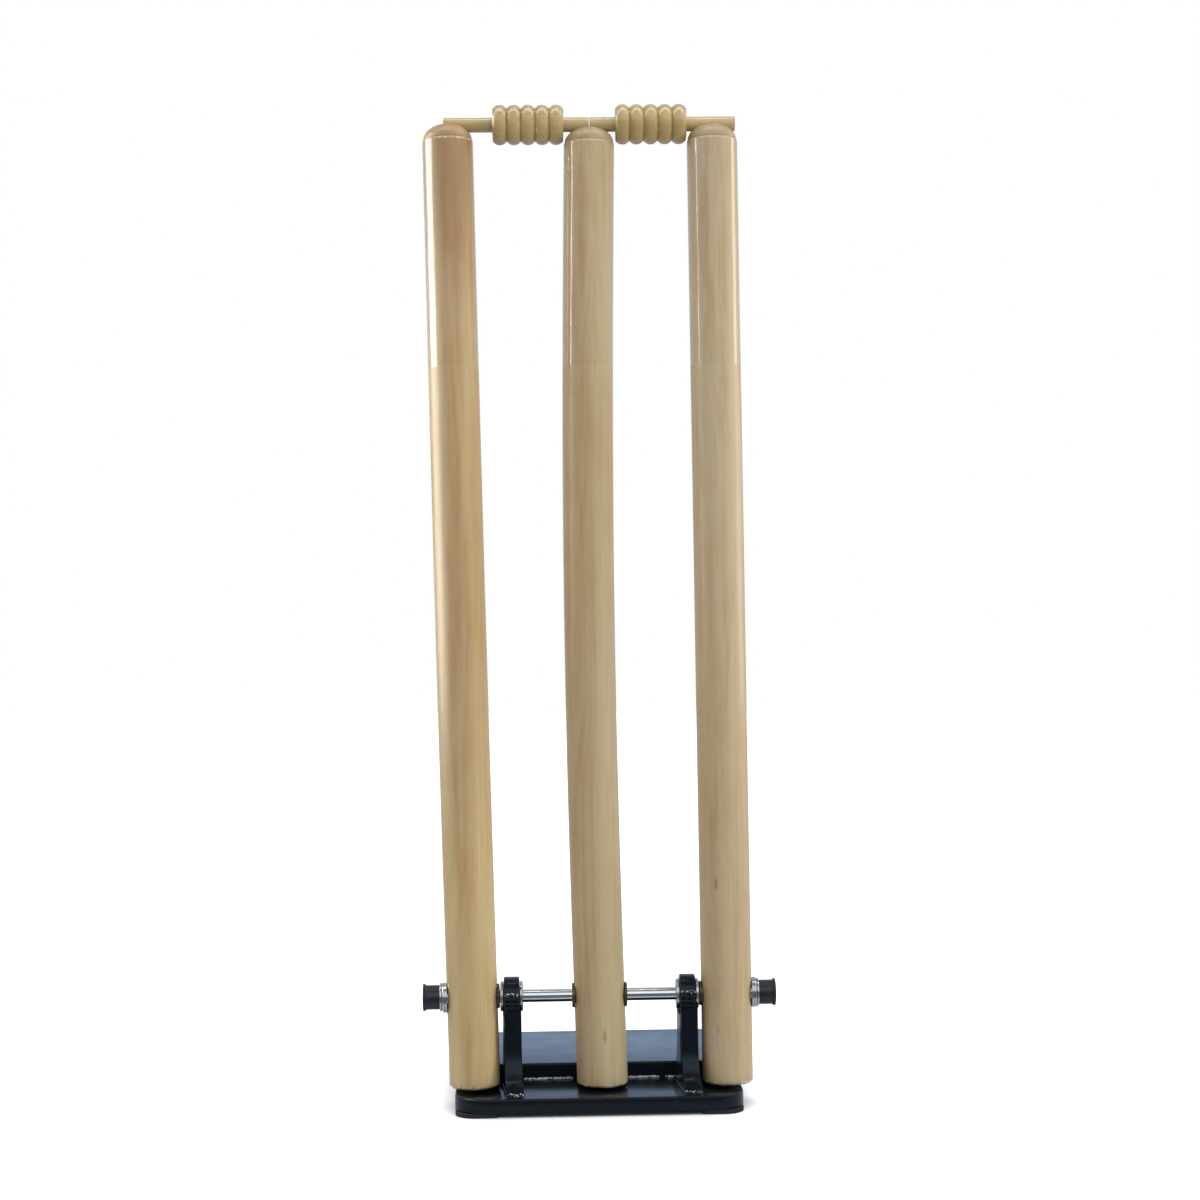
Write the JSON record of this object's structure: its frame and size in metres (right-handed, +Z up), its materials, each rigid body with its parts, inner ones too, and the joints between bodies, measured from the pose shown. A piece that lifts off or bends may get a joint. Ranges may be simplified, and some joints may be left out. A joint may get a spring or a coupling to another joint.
{
  "type": "cricket stumps",
  "caption": "Wooden cricket stumps with domed tops and beaded bails, hung on a cross axle over a low weighted steel stand so that each tilts back and springs upright.",
  "frame": {"origin": "centre of the bounding box's underside: on the ground, midway between the axle's ends and between the plate's front and back edges", "axes": "+X to the right along the axle, +Y to the back, where the stumps tilt, +Z up"},
  "size_m": [0.2782, 0.212, 0.7917],
  "materials": {
    "stump_wood": "pale straight-grained hardwood under satin lacquer, the top third under clear gloss film",
    "bail_wood": "pale turned hardwood, satin varnish",
    "black_paint": "gloss black enamel on steel",
    "chrome": "polished chrome plate",
    "zinc": "bright zinc plate",
    "dark_steel": "dark oiled steel",
    "spring_steel": "drawn spring wire, satin",
    "rubber": "matt black rubber",
    "black_plastic": "satin black moulded plastic"
  },
  "bodies": {
    "base": {"base_plate": "black_paint", "ballast_plate": "black_paint", "left_bracket": "black_paint", "right_bracket": "black_paint", "left_bracket_ring": "black_paint", "right_bracket_ring": "black_paint", "front_left_foot": "rubber", "front_right_foot": "rubber", "rear_left_foot": "rubber", "rear_right_foot": "rubber", "left_bracket_inner_bush": "zinc", "left_bracket_outer_bush": "zinc", "left_axle_washer": "zinc", "left_axle_cap": "black_plastic", "right_bracket_inner_bush": "zinc", "right_bracket_outer_bush": "zinc", "right_axle_washer": "zinc", "right_axle_cap": "black_plastic", "axle": "chrome", "left_stump_rest": "black_paint", "left_spring_tab": "black_paint", "middle_stump_rest": "black_paint", "middle_spring_tab": "black_paint", "right_stump_rest": "black_paint", "right_spring_tab": "black_paint"},
    "left_stump": {"left_stump": "stump_wood", "left_stump_left_bush": "zinc", "left_stump_right_bush": "dark_steel", "left_spring_staple": "zinc"},
    "left_spring": {"left_spring": "spring_steel"},
    "middle_stump": {"middle_stump": "stump_wood", "middle_stump_left_bush": "dark_steel", "middle_stump_right_bush": "dark_steel", "middle_spring_staple": "zinc"},
    "middle_spring": {"middle_spring": "spring_steel"},
    "right_stump": {"right_stump": "stump_wood", "right_stump_left_bush": "dark_steel", "right_stump_right_bush": "zinc", "right_spring_staple": "zinc"},
    "right_spring": {"right_spring": "spring_steel"},
    "left_bail": {"left_bail": "bail_wood"},
    "right_bail": {"right_bail": "bail_wood"}
  },
  "joints": [
    {"name": "left_stump_tilt", "type": "hinge", "parent": "base", "child": "left_stump", "pos_m": [-0.1005, -0.066, 0.0875], "axis": [-1, 0, 0], "range_deg": [0, 45], "stiffness_Nm_per_rad": 9.5, "springref_deg": -5.73},
    {"name": "middle_stump_tilt", "type": "hinge", "parent": "base", "child": "middle_stump", "pos_m": [0, -0.066, 0.0875], "axis": [-1, 0, 0], "range_deg": [0, 45], "stiffness_Nm_per_rad": 9.5, "springref_deg": -5.73},
    {"name": "right_stump_tilt", "type": "hinge", "parent": "base", "child": "right_stump", "pos_m": [0.1005, -0.066, 0.0875], "axis": [-1, 0, 0], "range_deg": [0, 45], "stiffness_Nm_per_rad": 9.5, "springref_deg": -5.73},
    {"name": "left_spring_stretch", "type": "slide", "parent": "base", "child": "left_spring", "axis": [0, -0.9937, -0.1124], "range_m": [0, 0.04054], "deforming": ["left_spring"]},
    {"name": "middle_spring_stretch", "type": "slide", "parent": "base", "child": "middle_spring", "axis": [0, -0.9937, -0.1124], "range_m": [0, 0.04054], "deforming": ["middle_spring"]},
    {"name": "right_spring_stretch", "type": "slide", "parent": "base", "child": "right_spring", "axis": [0, -0.9937, -0.1124], "range_m": [0, 0.04054], "deforming": ["right_spring"]},
    {"name": "left_bail_lift", "type": "slide", "parent": "left_stump", "child": "left_bail", "axis": [0, 0, 1], "range_m": [0, 0.04]},
    {"name": "right_bail_lift", "type": "slide", "parent": "right_stump", "child": "right_bail", "axis": [0, 0, 1], "range_m": [0, 0.04]}
  ],
  "couplings": [
    {"joint": "left_spring_stretch", "follows": "left_stump_tilt", "m_per_rad": 0.05123},
    {"joint": "middle_spring_stretch", "follows": "middle_stump_tilt", "m_per_rad": 0.05123},
    {"joint": "right_spring_stretch", "follows": "right_stump_tilt", "m_per_rad": 0.05123}
  ]
}
